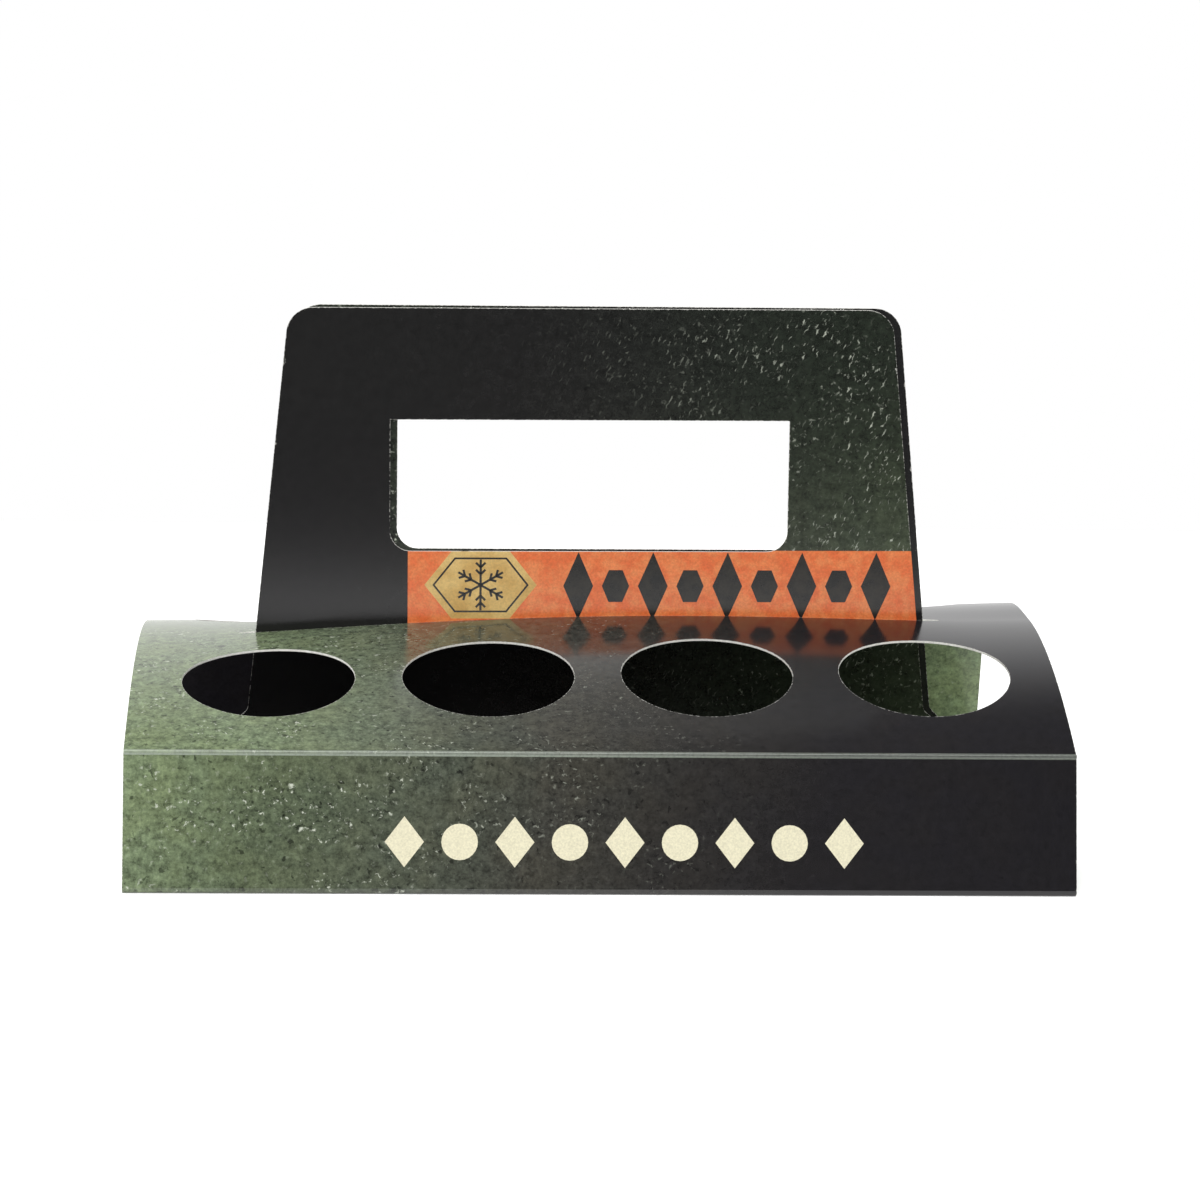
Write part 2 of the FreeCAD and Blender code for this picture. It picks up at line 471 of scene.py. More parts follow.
def flatBlank():
    # triangles of the flat blank, with the loops that bound it
    rows = stripRows()
    loops = [blankOutline(rows)]
    for side in (-1, 1):
        holes = [cupHole(side, i) for i in range(sheet["holesPerRow"])] + [handHole(side)]
        for hole in holes:
            area = sum(hole[i - 1][0] * p[1] - p[0] * hole[i - 1][1] for i, p in enumerate(hole))
            loops.append(hole if area < 0 else hole[::-1])
    loops.append(slitLoop()[::-1])

    border = np.concatenate([np.array(loop) for loop in loops])
    inset = np.concatenate([insetLoop(loop, sheet["edgeBand"]) for loop in loops])
    columns = np.linspace(-halfWidth, halfWidth, round(sheet["width"] / sheet["archStep"]) + 1)[1:-1]
    strip = sorted(set([-a for a in rows] + rows))
    grid = np.array([(u, v) for v in strip for u in columns])
    keep = insideLoop(grid, loops[0])
    for loop in loops[1:]:
        keep &= ~insideLoop(grid, loop)
    grid = grid[keep]
    away = np.abs(grid[:, 1])
    bends = np.abs(away - foldV) < 1.5
    for start, end in ((footV, floorV), (heelV, plyV)):
        bends |= (away > start - 0.6) & (away < end + 0.6)
    tree = kdtree.KDTree(len(border))
    for i, (u, v) in enumerate(border):
        tree.insert((u, v, 0), i)
    tree.balance()
    apart = np.array([tree.find((u, v, 0))[2] for u, v in grid])
    grid = grid[(apart > sheet["edgeClear"]) | (bends & (apart > sheet["bendClear"]))]

    areas = [loop for loop, slot in printAreas()]
    painted = np.concatenate([np.array(loop) for loop in areas])
    points = np.concatenate([border, painted, inset, grid])
    edges = []
    first = 0
    for loop in loops + areas:
        count = len(loop)
        edges += [(first + i, first + (i + 1) % count) for i in range(count)]
        first += count
    found = geometry.delaunay_2d_cdt([Vector(p) for p in points], edges, [], 0, 1e-5)
    flat = np.array([tuple(p) for p in found[0]])
    triangles = np.array([f for f in found[2] if len(f) == 3])
    corners = flat[triangles]
    first = corners[:, 1] - corners[:, 0]
    second = corners[:, 2] - corners[:, 0]
    area = first[:, 0] * second[:, 1] - first[:, 1] * second[:, 0]
    triangles[area < 0] = triangles[area < 0][:, ::-1]
    centres = corners.mean(1)
    keep = insideLoop(centres, loops[0]) & (np.abs(area) > 1e-7)
    for loop in loops[1:]:
        keep &= ~insideLoop(centres, loop)
    atEdge = np.zeros(len(flat))
    for i, sources in enumerate(found[3]):
        if any(source < len(border) for source in sources):
            atEdge[i] = 1
    return flat, triangles[keep], atEdge


def newObject(name, data):
    made = bpy.data.objects.new(name, data)
    bpy.context.collection.objects.link(made)
    return made


def buildSheet():
    flat, triangles, atEdge = flatBlank()
    used = np.unique(triangles)
    renumber = np.full(len(flat), -1)
    renumber[used] = np.arange(len(used))
    flat = flat[used]
    atEdge = atEdge[used]
    triangles = renumber[triangles]
    count = len(flat)
    outside, outsideNormal = foldUp(flat[:, 0], flat[:, 1], 1)
    inside, insideNormal = foldUp(flat[:, 0], flat[:, 1], -1)

    # cut edges: a directed edge that no neighbouring triangle shares
    directed = np.concatenate([triangles[:, [0, 1]], triangles[:, [1, 2]], triangles[:, [2, 0]]])
    known = set(map(tuple, directed.tolist()))
    rim = [(i, j) for i, j in directed.tolist() if (j, i) not in known]
    quads = [(i, i + count, j + count, j) for i, j in rim]

    faces = triangles.tolist() + (triangles[:, ::-1] + count).tolist() + quads
    mesh = bpy.data.meshes.new("carrierSheet")
    mesh.from_pydata(np.concatenate([outside, inside]).tolist(), [], faces)
    carrier = newObject("carrierSheet", mesh)

    # face slots: 0 outside print, 1 inside print, 2 cut board, then the printed areas
    inner = np.ones(len(triangles))
    middles = flat[triangles].mean(1)
    for loop, slot in printAreas():
        inner[insideLoop(middles, loop)] = slot
    slots = np.concatenate([np.zeros(len(triangles)), inner, np.full(len(quads), 2)])
    mesh.polygons.foreach_set("material_index", slots.astype(int))
    mesh.polygons.foreach_set("use_smooth", slots != 2)
    blank = mesh.uv_layers.new(name="blank")
    corner = np.zeros(len(mesh.loops), int)
    mesh.loops.foreach_get("vertex_index", corner)
    blank.data.foreach_set("uv", flat[corner % count].ravel())
    edge = mesh.attributes.new("cutEdge", "FLOAT", "POINT")
    edge.data.foreach_set("value", np.tile(atEdge, 2))

    loopSlots = np.repeat(slots, [len(f) for f in faces])
    normals = np.concatenate([outsideNormal, insideNormal])[corner]
    normals[loopSlots == 2] = 0                  # zero keeps the face's own normal
    mesh.normals_split_custom_set(normals.tolist())
    return carrier


carrier = buildSheet()
print("sheet folded:", len(carrier.data.vertices), "points,", len(carrier.data.polygons), "faces")

# Printed marks: generic rows of shapes, thin plates that Geometry Nodes lay on the board

wallRow = {
    "count": 9,
    "pitch": 12.4,
    "middle": 5.0,                    # of the row, right of the carrier's middle
    "height": 11.6,                   # of its middle above the floor
    "shapes": ((4, 8.8, 11.4), (24, 8.2, 8.2)),      # corners, width, height
}

bandRow = {
    "count": 9,
    "pitch": 9.0,
    "middle": 33.5,
    "height": 56.4,
    "shapes": ((4, 7.2, 16.6), (6, 6.6, 9.0)),
}

plate = {
    "thickness": 0.05,
    "proud": 0.012,                   # of the board; the rest of the plate lies inside it
}

crystal = {
    "arm": 6.2,
    "width": 0.55,
    "branch": 1.14,                   # reach of a branch along its arm, and beside it
    "branchAt": (2.6, 4.3),
}

nicks = {
    "spacing": 0.7,
    "share": 0.09,                    # of the places along the edge that carry one
    "size": 0.34,
    "seed": 5,
    "corner": ((-6, 0), (-2, -2), (0.3, -7), (4.6, -52)),      # from a ply's top right corner
}


def fill(tree, node, inputs):
    # values, or other nodes' outputs, into a node's inputs
    for key, value in inputs.items():
        if isinstance(value, bpy.types.NodeSocket):
            tree.links.new(value, node.inputs[key])
        else:
            node.inputs[key].default_value = value


def newNode(tree, kind, inputs=None, **settings):
    made = tree.nodes.new(kind)
    for key, value in settings.items():
        setattr(made, key, value)
    fill(tree, made, inputs or {})
    return made


def newTree(name, kind, inputs, outputs):
    tree = bpy.data.node_groups.new(name, kind)
    sockets = {}
    for label, socketKind, value in inputs:
        socket = tree.interface.new_socket(label, in_out="INPUT", socket_type="NodeSocket" + socketKind)
        if value is not None:
            socket.default_value = value
        sockets[label] = socket.identifier
    for label, socketKind in outputs:
        tree.interface.new_socket(label, in_out="OUTPUT", socket_type="NodeSocket" + socketKind)
    start = tree.nodes.new("NodeGroupInput").outputs
    end = tree.nodes.new("NodeGroupOutput")
    return tree, sockets, start, end


def calc(tree, operation, *values, clamp=False):
    inputs = dict(enumerate(values))
    return newNode(tree, "ShaderNodeMath", inputs, operation=operation, use_clamp=clamp).outputs[0]


def product(tree, first, second):
    return calc(tree, "MULTIPLY", first, second)


def markRowTree():
    # instances of two prisms in turn along a line, then turned and moved into place
    tree, sockets, start, end = newTree("markRow", "GeometryNodeTree", [
        ("Count", "Int", 9),
        ("Pitch", "Float", 0.01),
        ("Corners A", "Int", 4),
        ("Size A", "Vector", (1, 1, 1)),
        ("Corners B", "Int", 6),
        ("Size B", "Vector", (1, 1, 1)),
        ("Thickness", "Float", 0.0001),
        ("Place", "Vector", (0, 0, 0)),
        ("Turn", "Vector", (0, 0, 0)),
        ("Material", "Material", None),
    ], [("Geometry", "Geometry")])
    gaps = calc(tree, "SUBTRACT", start["Count"], 1.0)
    run = product(tree, gaps, start["Pitch"])
    first = newNode(tree, "ShaderNodeCombineXYZ", {"X": product(tree, run, -0.5)}).outputs[0]
    step = newNode(tree, "ShaderNodeCombineXYZ", {"X": start["Pitch"]}).outputs[0]
    line = newNode(tree, "GeometryNodeMeshLine", {
        "Count": start["Count"], "Start Location": first, "Offset": step})
    choices = newNode(tree, "GeometryNodeGeometryToInstance")
    for letter in "BA":
        prism = newNode(tree, "GeometryNodeMeshCylinder", {
            "Vertices": start["Corners " + letter], "Radius": 0.5, "Depth": start["Thickness"]})
        shaped = newNode(tree, "GeometryNodeTransform", {
            "Geometry": prism.outputs["Mesh"], "Scale": start["Size " + letter]})
        tree.links.new(shaped.outputs[0], choices.inputs[0])
    number = newNode(tree, "GeometryNodeInputIndex").outputs[0]
    spots = newNode(tree, "GeometryNodeInstanceOnPoints", {
        "Points": line.outputs[0],
        "Instance": choices.outputs[0],
        "Pick Instance": True,
        "Instance Index": calc(tree, "MODULO", number, 2.0),
    })
    placed = newNode(tree, "GeometryNodeTransform", {
        "Geometry": spots.outputs[0], "Translation": start["Place"], "Rotation": start["Turn"]})
    real = newNode(tree, "GeometryNodeRealizeInstances", {"Geometry": placed.outputs[0]})
    painted = newNode(tree, "GeometryNodeSetMaterial", {
        "Geometry": real.outputs[0], "Material": start["Material"]})
    fill(tree, end, {"Geometry": painted.outputs[0]})
    return tree, sockets


def nickTree():
    # small torn tufts at random places along the line that it is given
    tree, sockets, start, end = newTree("edgeNicks", "GeometryNodeTree", [
        ("Geometry", "Geometry", None),
        ("Spacing", "Float", 0.001),
        ("Share", "Float", 0.1),
        ("Size", "Float", 0.0003),
        ("Seed", "Int", 1),
        ("Material", "Material", None),
    ], [("Geometry", "Geometry")])
    curve = newNode(tree, "GeometryNodeMeshToCurve", {"Mesh": start["Geometry"]})
    spots = newNode(tree, "GeometryNodeCurveToPoints", {
        "Curve": curve.outputs[0], "Length": start["Spacing"]}, mode="LENGTH")
    chosen = newNode(tree, "FunctionNodeRandomValue", {
        "Probability": start["Share"], "Seed": start["Seed"]}, data_type="BOOLEAN")
    tuft = newNode(tree, "GeometryNodeMeshIcoSphere", {"Radius": start["Size"], "Subdivisions": 1})
    turn = newNode(tree, "FunctionNodeRandomValue", {
        0: (0, 0, 0), 1: (6.28, 6.28, 6.28), "Seed": start["Seed"]}, data_type="FLOAT_VECTOR")
    size = newNode(tree, "FunctionNodeRandomValue", {
        0: (0.4, 0.4, 0.4), 1: (1.9, 0.8, 1.0), "Seed": calc(tree, "ADD", start["Seed"], 1.0)},
        data_type="FLOAT_VECTOR")
    laid = newNode(tree, "GeometryNodeInstanceOnPoints", {
        "Points": spots.outputs["Points"],
        "Selection": chosen.outputs[3],
        "Instance": tuft.outputs[0],
        "Rotation": turn.outputs[0],
        "Scale": size.outputs[0],
    })
    real = newNode(tree, "GeometryNodeRealizeInstances", {"Geometry": laid.outputs[0]})
    painted = newNode(tree, "GeometryNodeSetMaterial", {
        "Geometry": real.outputs[0], "Material": start["Material"]})
    fill(tree, end, {"Geometry": painted.outputs[0]})
    return tree, sockets


def grownMesh(name, start, tree, sockets, values):
    # run the tree on a starting mesh, and keep the result as a plain mesh
    piece = newObject(name, start)
    modifier = piece.modifiers.new(name, "NODES")
    modifier.node_group = tree
    for label, value in values.items():
        modifier[sockets[label]] = value
    evaluated = piece.evaluated_get(bpy.context.evaluated_depsgraph_get())
    mesh = bpy.data.meshes.new_from_object(evaluated)
    piece.modifiers.remove(modifier)
    piece.data = mesh
    mesh.name = name
    return piece


def printedPiece(piece):
    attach(piece, "root")


def markRow(name, row, place, turn, material):
    (cornersA, widthA, heightA), (cornersB, widthB, heightB) = row["shapes"]
    piece = grownMesh(name, bpy.data.meshes.new(name + "Start"), markTree, markSockets, {
        "Count": row["count"],
        "Pitch": row["pitch"] * mm,
        "Corners A": cornersA,
        "Size A": (widthA * mm, heightA * mm, 1),
        "Corners B": cornersB,
        "Size B": (widthB * mm, heightB * mm, 1),
        "Thickness": plate["thickness"] * mm,
        "Place": place,
        "Turn": turn,
        "Material": material,
    })
    printedPiece(piece)


def onFrontPly(x, z):
    # a point on the face of the front ply, in metres
    across, along = onPly(-1, x, z)
    depth = plyMiddle + halfBoard + plate["proud"] - plate["thickness"] / 2
    return Vector((across, -depth, plyZ - along - plyV)) * mm


def onFrontWall(x, z):
    # a point on the outside of the front wall at this height, in metres
    down = (sheet["wallHeight"] - z) / math.cos(lean)
    lift = halfBoard + plate["proud"] - plate["thickness"] / 2
    y = foldY + down * math.sin(lean) + lift * math.cos(lean)
    return Vector((x, -y, z + lift * math.sin(lean))) * mm


def snowCrystal(name, material):
    # six arms with two pairs of branches each, on the plaque
    shape = bmesh.new()
    half = crystal["width"] / 2
    for k in range(6):
        turn = Matrix.Rotation(math.radians(60 * k + 30), 3, "Z")
        strokes = [((0, 0), (crystal["arm"], 0))]
        for out in crystal["branchAt"]:
            for reach in (crystal["branch"], -crystal["branch"]):
                strokes.append(((out, 0), (out + crystal["branch"], reach)))
        for begin, finish in strokes:
            begin, finish = Vector((*begin, 0)), Vector((*finish, 0))
            beside = (finish - begin).normalized().cross(Vector((0, 0, 1))) * half
            corners = []
            for level in (-plate["thickness"] / 2, plate["thickness"] / 2):
                for spot in (begin - beside, finish - beside, finish + beside, begin + beside):
                    corners.append(shape.verts.new(turn @ (spot + Vector((0, 0, level)))))
            for face in ((3, 2, 1, 0), (4, 5, 6, 7), (0, 1, 5, 4), (1, 2, 6, 5), (2, 3, 7, 6), (3, 0, 4, 7)):
                shape.faces.new([corners[i] for i in face])
    bmesh.ops.recalc_face_normals(shape, faces=shape.faces)
    mesh = bpy.data.meshes.new(name)
    shape.to_mesh(mesh)
    shape.free()
    upright = Matrix.Rotation(-math.radians(sheet["tilt"][-1]), 4, "Y") @ Matrix.Rotation(math.pi / 2, 4, "X")
    mesh.transform(Matrix.Translation(onFrontPly(*bandPrint["plaqueMiddle"])) @ upright @ Matrix.Scale(mm, 4))
    mesh.materials.append(material)
    printedPiece(newObject(name, mesh))


# Inks and board, as linear colours

ink = {
    "stone": (                        # from the pale end of the sheet, millimetres and colour
        (0, (0.148, 0.190, 0.104)),
        (34, (0.080, 0.101, 0.058)),
        (66, (0.062, 0.072, 0.050)),
        (97, (0.040, 0.039, 0.032)),
        (128, (0.0205, 0.0190, 0.0178)),
        (160, (0.0118, 0.0108, 0.0122)),
        (215, (0.0092, 0.0084, 0.0102)),
    ),
    "black": (0.0112, 0.0110, 0.0109),
    "blackGreen": (0.0110, 0.0150, 0.0105),
    "fleck": (0.52, 0.55, 0.46),
    "chip": (0.74, 0.73, 0.68),
    "board": (0.84, 0.83, 0.78),
    "cream": (0.62, 0.585, 0.425),
    "orange": (0.70, 0.145, 0.040),
    "orangeWorn": (0.75, 0.23, 0.075),
    "gold": (0.66, 0.46, 0.17),
    "goldDeep": (0.54, 0.33, 0.095),
    "mark": (0.024, 0.021, 0.017),
    "rubAndHighlightColour": (0.36, 0.41, 0.34),     # on the top folds: rubbed print and a painted highlight on the bead
    "coolTint": (0.99, 1.0, 1.03),    # the stone's colour wanders between these two
    "warmTint": (1.01, 1.0, 0.95),
}

varnish = {
    "roughness": 0.16,
    "ripple": 0.02,                   # strength of its slight unevenness
    "depth": 0.00003,
}


def colourRamp(tree, factor, stops):
    ramp = newNode(tree, "ShaderNodeValToRGB", {"Fac": factor})
    points = ramp.color_ramp.elements
    while len(points) < len(stops):
        points.new(0.5)
    for point, (position, colour) in zip(points, stops):
        point.position = position
    for point, (position, colour) in zip(points, stops):
        point.color = (*colour, 1)
    return ramp.outputs[0]


def mixColour(tree, factor, first, second, blend="MIX"):
    made = newNode(tree, "ShaderNodeMix", data_type="RGBA", blend_type=blend)
    colours = [(*value, 1) if isinstance(value, tuple) else value for value in (first, second)]
    fill(tree, made, {0: factor, 6: colours[0], 7: colours[1]})
    return made.outputs[2]


def scaled(tree, colour, factor):
    return newNode(tree, "ShaderNodeVectorMath", {0: colour, "Scale": factor}, operation="SCALE").outputs[0]


def smooth(tree, value, low, high, lowTo=0.0, highTo=1.0):
    return newNode(tree, "ShaderNodeMapRange", {
        "Value": value, "From Min": low, "From Max": high, "To Min": lowTo, "To Max": highTo},
        interpolation_type="SMOOTHSTEP").outputs[0]


def noise(tree, place, scale, detail=2.0, roughness=0.5):
    made = newNode(tree, "ShaderNodeTexNoise", {
        "Vector": place, "Scale": scale, "Detail": detail, "Roughness": roughness})
    return made.outputs["Fac"]


def shifted(tree, place, offset):
    return newNode(tree, "ShaderNodeVectorMath", {0: place, 1: offset}, operation="ADD").outputs[0]


def centred(tree, value):
    return calc(tree, "SUBTRACT", value, 0.5)


stoneGrain = {
    "fine": 1.25,                     # noise scales, in cycles per millimetre
    "middle": 0.42,
    "broad": 0.085,
    "crumbs": 0.80,
    "crumbDrift": 0.075,
    "lonePits": 0.45,
    "strokes": 1.35,
    "strokeDrift": 0.07,
    "shares": (1.6, 2.1, 0.7),        # of the fine, middle and broad noise in the shade
    "pitDepth": 0.62,                 # how much a pit darkens the print
    "pitBeside": (0.75, -0.65, 0),    # millimetres from a crumb to its pit
    "strokeTurn": -64,                # degrees
    "strokeStretch": (3.2, 0.85, 1),
}


def frostedStone():
    # frosted, pitted stone: how light it is, its pale flecks, and its relief
    tree, sockets, start, end = newTree("frostedStone", "ShaderNodeTree", [
        ("Place", "Vector", (0, 0, 0)),
        ("Grain", "Float", 1.0),
        ("Pits", "Float", 1.0),
        ("Strokes", "Float", 0.0),
    ], [("Shade", "Float"), ("Fleck", "Float"), ("Tint", "Float"),
        ("Relief", "Float")])
    place = start["Place"]
    wander = newNode(tree, "ShaderNodeTexNoise", {"Vector": place, "Scale": 0.9, "Detail": 2.0})
    bent = newNode(tree, "ShaderNodeVectorMath", {
        0: wander.outputs["Color"], 1: (1.3, 1.3, 0), 2: place}, operation="MULTIPLY_ADD").outputs[0]

    fine = noise(tree, place, stoneGrain["fine"], 2.0, 0.7)
    middle = noise(tree, bent, stoneGrain["middle"], 3.0, 0.6)
    broad = noise(tree, place, stoneGrain["broad"], 3.0, 0.5)

    # pale crumbs in drifts, each with a dark pit beside it
    drift = noise(tree, place, stoneGrain["crumbDrift"], 2.0, 0.55)
    drift = smooth(tree, drift, 0.46, 0.61, 0.14, 1.0)
    crumbs = noise(tree, bent, stoneGrain["crumbs"], 2.0, 0.62)
    beside = noise(tree, shifted(tree, bent, stoneGrain["pitBeside"]), stoneGrain["crumbs"], 2.0, 0.62)
    crumbMask = product(tree, smooth(tree, crumbs, 0.59, 0.73), drift)
    pitMask = product(tree, smooth(tree, beside, 0.57, 0.68), drift)
    lone = noise(tree, shifted(tree, bent, (17, 5, 0)), stoneGrain["lonePits"])
    pitMask = calc(tree, "MAXIMUM", pitMask, smooth(tree, lone, 0.645, 0.70))

    # short slanting strokes of frost, in drifts of their own
    turned = newNode(tree, "ShaderNodeMapping", {
        "Vector": bent, "Rotation": (0, 0, math.radians(stoneGrain["strokeTurn"])),
        "Scale": stoneGrain["strokeStretch"]}, vector_type="TEXTURE").outputs[0]
    strokes = noise(tree, turned, stoneGrain["strokes"], 1.5)
    strokeDrift = noise(tree, shifted(tree, place, (9, 31, 0)), stoneGrain["strokeDrift"], 2.0, 0.55)
    strokeDrift = smooth(tree, strokeDrift, 0.44, 0.60, 0.06, 1.0)
    strokeMask = product(tree, smooth(tree, strokes, 0.62, 0.73), strokeDrift)
    strokeMask = product(tree, strokeMask, start["Strokes"])

    fleck = product(tree, crumbMask, start["Pits"])
    fleck = calc(tree, "MAXIMUM", fleck, strokeMask, clamp=True)

    shade = 0.0
    for cloud, share in zip((fine, middle, broad), stoneGrain["shares"]):
        shade = calc(tree, "MULTIPLY_ADD", centred(tree, cloud), share, shade)
    shade = calc(tree, "MULTIPLY_ADD", shade, start["Grain"], 1.0)
    pitMask = product(tree, pitMask, start["Pits"])
    shade = product(tree, shade, calc(tree, "MULTIPLY_ADD", pitMask, -stoneGrain["pitDepth"], 1.0))
    shade = calc(tree, "MAXIMUM", shade, 0.12)
    height = calc(tree, "MULTIPLY_ADD", fine, 0.5, middle)
    fill(tree, end, {"Shade": shade, "Fleck": fleck, "Tint": broad, "Relief": height})
    return tree


def wornEdgeAndHighlight():
    # where the print has chipped off beside a cut, and a pale line along a fold: partly rubbed print, partly
    # a painted highlight on the bead
    tree, sockets, start, end = newTree("wornEdgeAndHighlight", "ShaderNodeTree", [
        ("Place", "Vector", (0, 0, 0)),
        ("Cut", "Float", 0.0),
        ("Fold", "Float", 100.0),
        ("Fold Width", "Float", 0.5),
        ("Amount", "Float", 0.5),
    ], [("Chip", "Float"), ("Rub And Highlight", "Float")])
    bits = noise(tree, start["Place"], 1.6, 3.0, 0.6)
    limit = smooth(tree, bits, 0.35, 0.7, 1.15, 0.35)
    chip = smooth(tree, calc(tree, "SUBTRACT", start["Cut"], limit), -0.08, 0.08)
    chip = product(tree, chip, start["Amount"])
    away = calc(tree, "DIVIDE", start["Fold"], start["Fold Width"])
    rubAndHighlight = product(tree, smooth(tree, away, 1.25, 0.90), smooth(tree, away, 0.35, 0.75, 0.45, 1.0))
    rubAndHighlight = product(tree, rubAndHighlight, smooth(tree, bits, 0.2, 0.6, 0.55, 1.0))
    fill(tree, end, {"Chip": chip, "Rub And Highlight": rubAndHighlight})
    return tree


def newMaterial(name):
    material = bpy.data.materials.new(name)
    material.use_nodes = True
    tree = material.node_tree
    shader = tree.nodes["Principled BSDF"]
    shader.inputs["IOR"].default_value = 1.5
    return material, tree, shader


def group(tree, nodeTree, inputs):
    return newNode(tree, "ShaderNodeGroup", inputs, node_tree=nodeTree).outputs


fade = {
    # where the arch is made lighter: partly paler print, partly painted light from above
    "archPrintAndLightIn": (6, 34),               # millimetres from the pale end
    "archPrintAndLightOut": (80, 50),
    "boxEdge": (-2, 8),               # millimetres above the foot of a ply, as the next three
    # painted shade on the centre walls under the arch, between these heights
    "underIn": (0, 8),
    "underOut": (50, 42),
    "strokesIn": (20, 50),
    "even": (0.42, 0.78),             # shares of the width, where the mottling fades out
    "rubAndHighlight": (0.3, 0.8),                # and where the pale line on the folds, rubbed print and painted highlight, grows weaker
    "rubAndHighlightLeft": 0.55,
    "foldWidth": 0.62,                # millimetres on each side of a top fold
    "chips": 0.5,
}


def stonePrint(name, paleEnd, values):
    # paleEnd is -1 where the print is palest at the left end of the sheet, 1 at the right
    material, tree, shader = newMaterial(name)
    place = newNode(tree, "ShaderNodeUVMap", uv_map="blank").outputs[0]
    spot = newNode(tree, "ShaderNodeSeparateXYZ", {"Vector": place}).outputs
    away = calc(tree, "ABSOLUTE", spot["Y"])          # from the crest, along the strip
    up = calc(tree, "SUBTRACT", away, plyV)           # from the foot of the ply
    moved = shifted(tree, place, (values["offset"], 0, 0))
    strokes = product(tree, smooth(tree, up, *fade["strokesIn"]), values["strokes"])
    stone = group(tree, stoneTree, {
        "Place": moved, "Grain": values["grain"], "Pits": values["pits"], "Strokes": strokes})

    fromPale = calc(tree, "MULTIPLY_ADD", spot["X"], -paleEnd / sheet["width"], 0.5)
    slope = product(tree, smooth(tree, away, foldV, footV), values["wallShift"] / sheet["width"])
    sway = calc(tree, "MULTIPLY_ADD", centred(tree, stone["Tint"]), values["sway"], fromPale)
    sway = calc(tree, "ADD", sway, slope, clamp=True)
    stops = [(position / sheet["width"], colour) for position, colour in ink["stone"]]
    base = colourRamp(tree, sway, stops)
    tint = mixColour(tree, smooth(tree, stone["Tint"], 0.35, 0.65), ink["coolTint"], ink["warmTint"])
    base = mixColour(tree, 1.0, base, tint, "MULTIPLY")
    # the arch is lighter over part of its length, partly a paler print and partly painted light from above;
    # and the inside of the box is lighter, which is painted light
    along = product(tree, fromPale, sheet["width"])
    archPrintAndLight = product(tree, smooth(tree, along, *fade["archPrintAndLightIn"]), smooth(tree, along, *fade["archPrintAndLightOut"]))
    archPrintAndLight = product(tree, archPrintAndLight, smooth(tree, away, foldV, foldV - 1.5))
    gain = calc(tree, "MULTIPLY_ADD", archPrintAndLight, values["archPrintAndLight"], 1.0)
    # painted light inside the box: the inner faces of the arch, walls and floor are made lighter
    gain = product(tree, gain, smooth(tree, up, *fade["boxEdge"], values["boxPaintedLight"], 1.0))
    base = scaled(tree, base, gain)
    # and it turns black up the handle, where the print is black; the centre walls under the slit are darkened
    # too, which is painted shade under the arch
    deep = smooth(tree, up, values["deepStart"], values["deepRun"], 0.0, values["deep"])
    under = product(tree, smooth(tree, up, *fade["underIn"]), smooth(tree, up, *fade["underOut"]))
    deep = calc(tree, "MAXIMUM", deep, product(tree, under, values["under"]))
    darkest = mixColour(tree, smooth(tree, fromPale, 0.2, 0.6), ink["blackGreen"], ink["black"])
    base = mixColour(tree, deep, base, darkest)
    # the mottling and the flecks fade out towards the black end
    even = smooth(tree, fromPale, *fade["even"], 0.0, 0.6)
    mottled = newNode(tree, "ShaderNodeMix", {"Factor": even, "A": stone["Shade"], "B": 1.0}).outputs[0]
    strength = smooth(tree, fromPale, values["fleckRun"], 0.1, 0.0, values["fleck"])
    flecks = product(tree, stone["Fleck"], strength)
    coloured = mixColour(tree, flecks, scaled(tree, base, mottled), ink["fleck"])

    cut = newNode(tree, "ShaderNodeAttribute", attribute_name="cutEdge").outputs["Fac"]
    fold = calc(tree, "ABSOLUTE", calc(tree, "SUBTRACT", away, foldV))
    wornAndHighlight = group(tree, wornAndHighlightTree, {
        "Place": place, "Cut": cut, "Fold": fold, "Fold Width": fade["foldWidth"], "Amount": fade["chips"]})
    coloured = mixColour(tree, wornAndHighlight["Chip"], coloured, ink["chip"])
    # pale line on the top fold: rubbed print and a painted highlight on the bead, weaker towards the black
    # end
    rubAndHighlight = smooth(tree, fromPale, *fade["rubAndHighlight"], values["rubAndHighlight"], values["rubAndHighlight"] * fade["rubAndHighlightLeft"])
    coloured = mixColour(tree, product(tree, wornAndHighlight["Rub And Highlight"], rubAndHighlight), coloured, ink["rubAndHighlightColour"])
    bump = newNode(tree, "ShaderNodeBump", {
        "Height": stone["Relief"], "Strength": varnish["ripple"], "Distance": varnish["depth"]}).outputs[0]
    fill(tree, shader, {"Base Color": coloured, "Roughness": varnish["roughness"], "Normal": bump})
    return material


def flatInk(name, colour, second, scale, roughness):
    # one ink with slight clouding, on the object's own coordinates, in metres
    material, tree, shader = newMaterial(name)
    place = newNode(tree, "ShaderNodeTexCoord").outputs["Object"]
    cloud = noise(tree, place, scale, 3.0, 0.6)
    coloured = mixColour(tree, smooth(tree, cloud, 0.35, 0.68), colour, second)
    grain = noise(tree, place, 2200.0, 2.0, 0.6)
    coloured = scaled(tree, coloured, smooth(tree, grain, 0.2, 0.8, 0.86, 1.14))
    fill(tree, shader, {"Base Color": coloured, "Roughness": roughness})
    return material


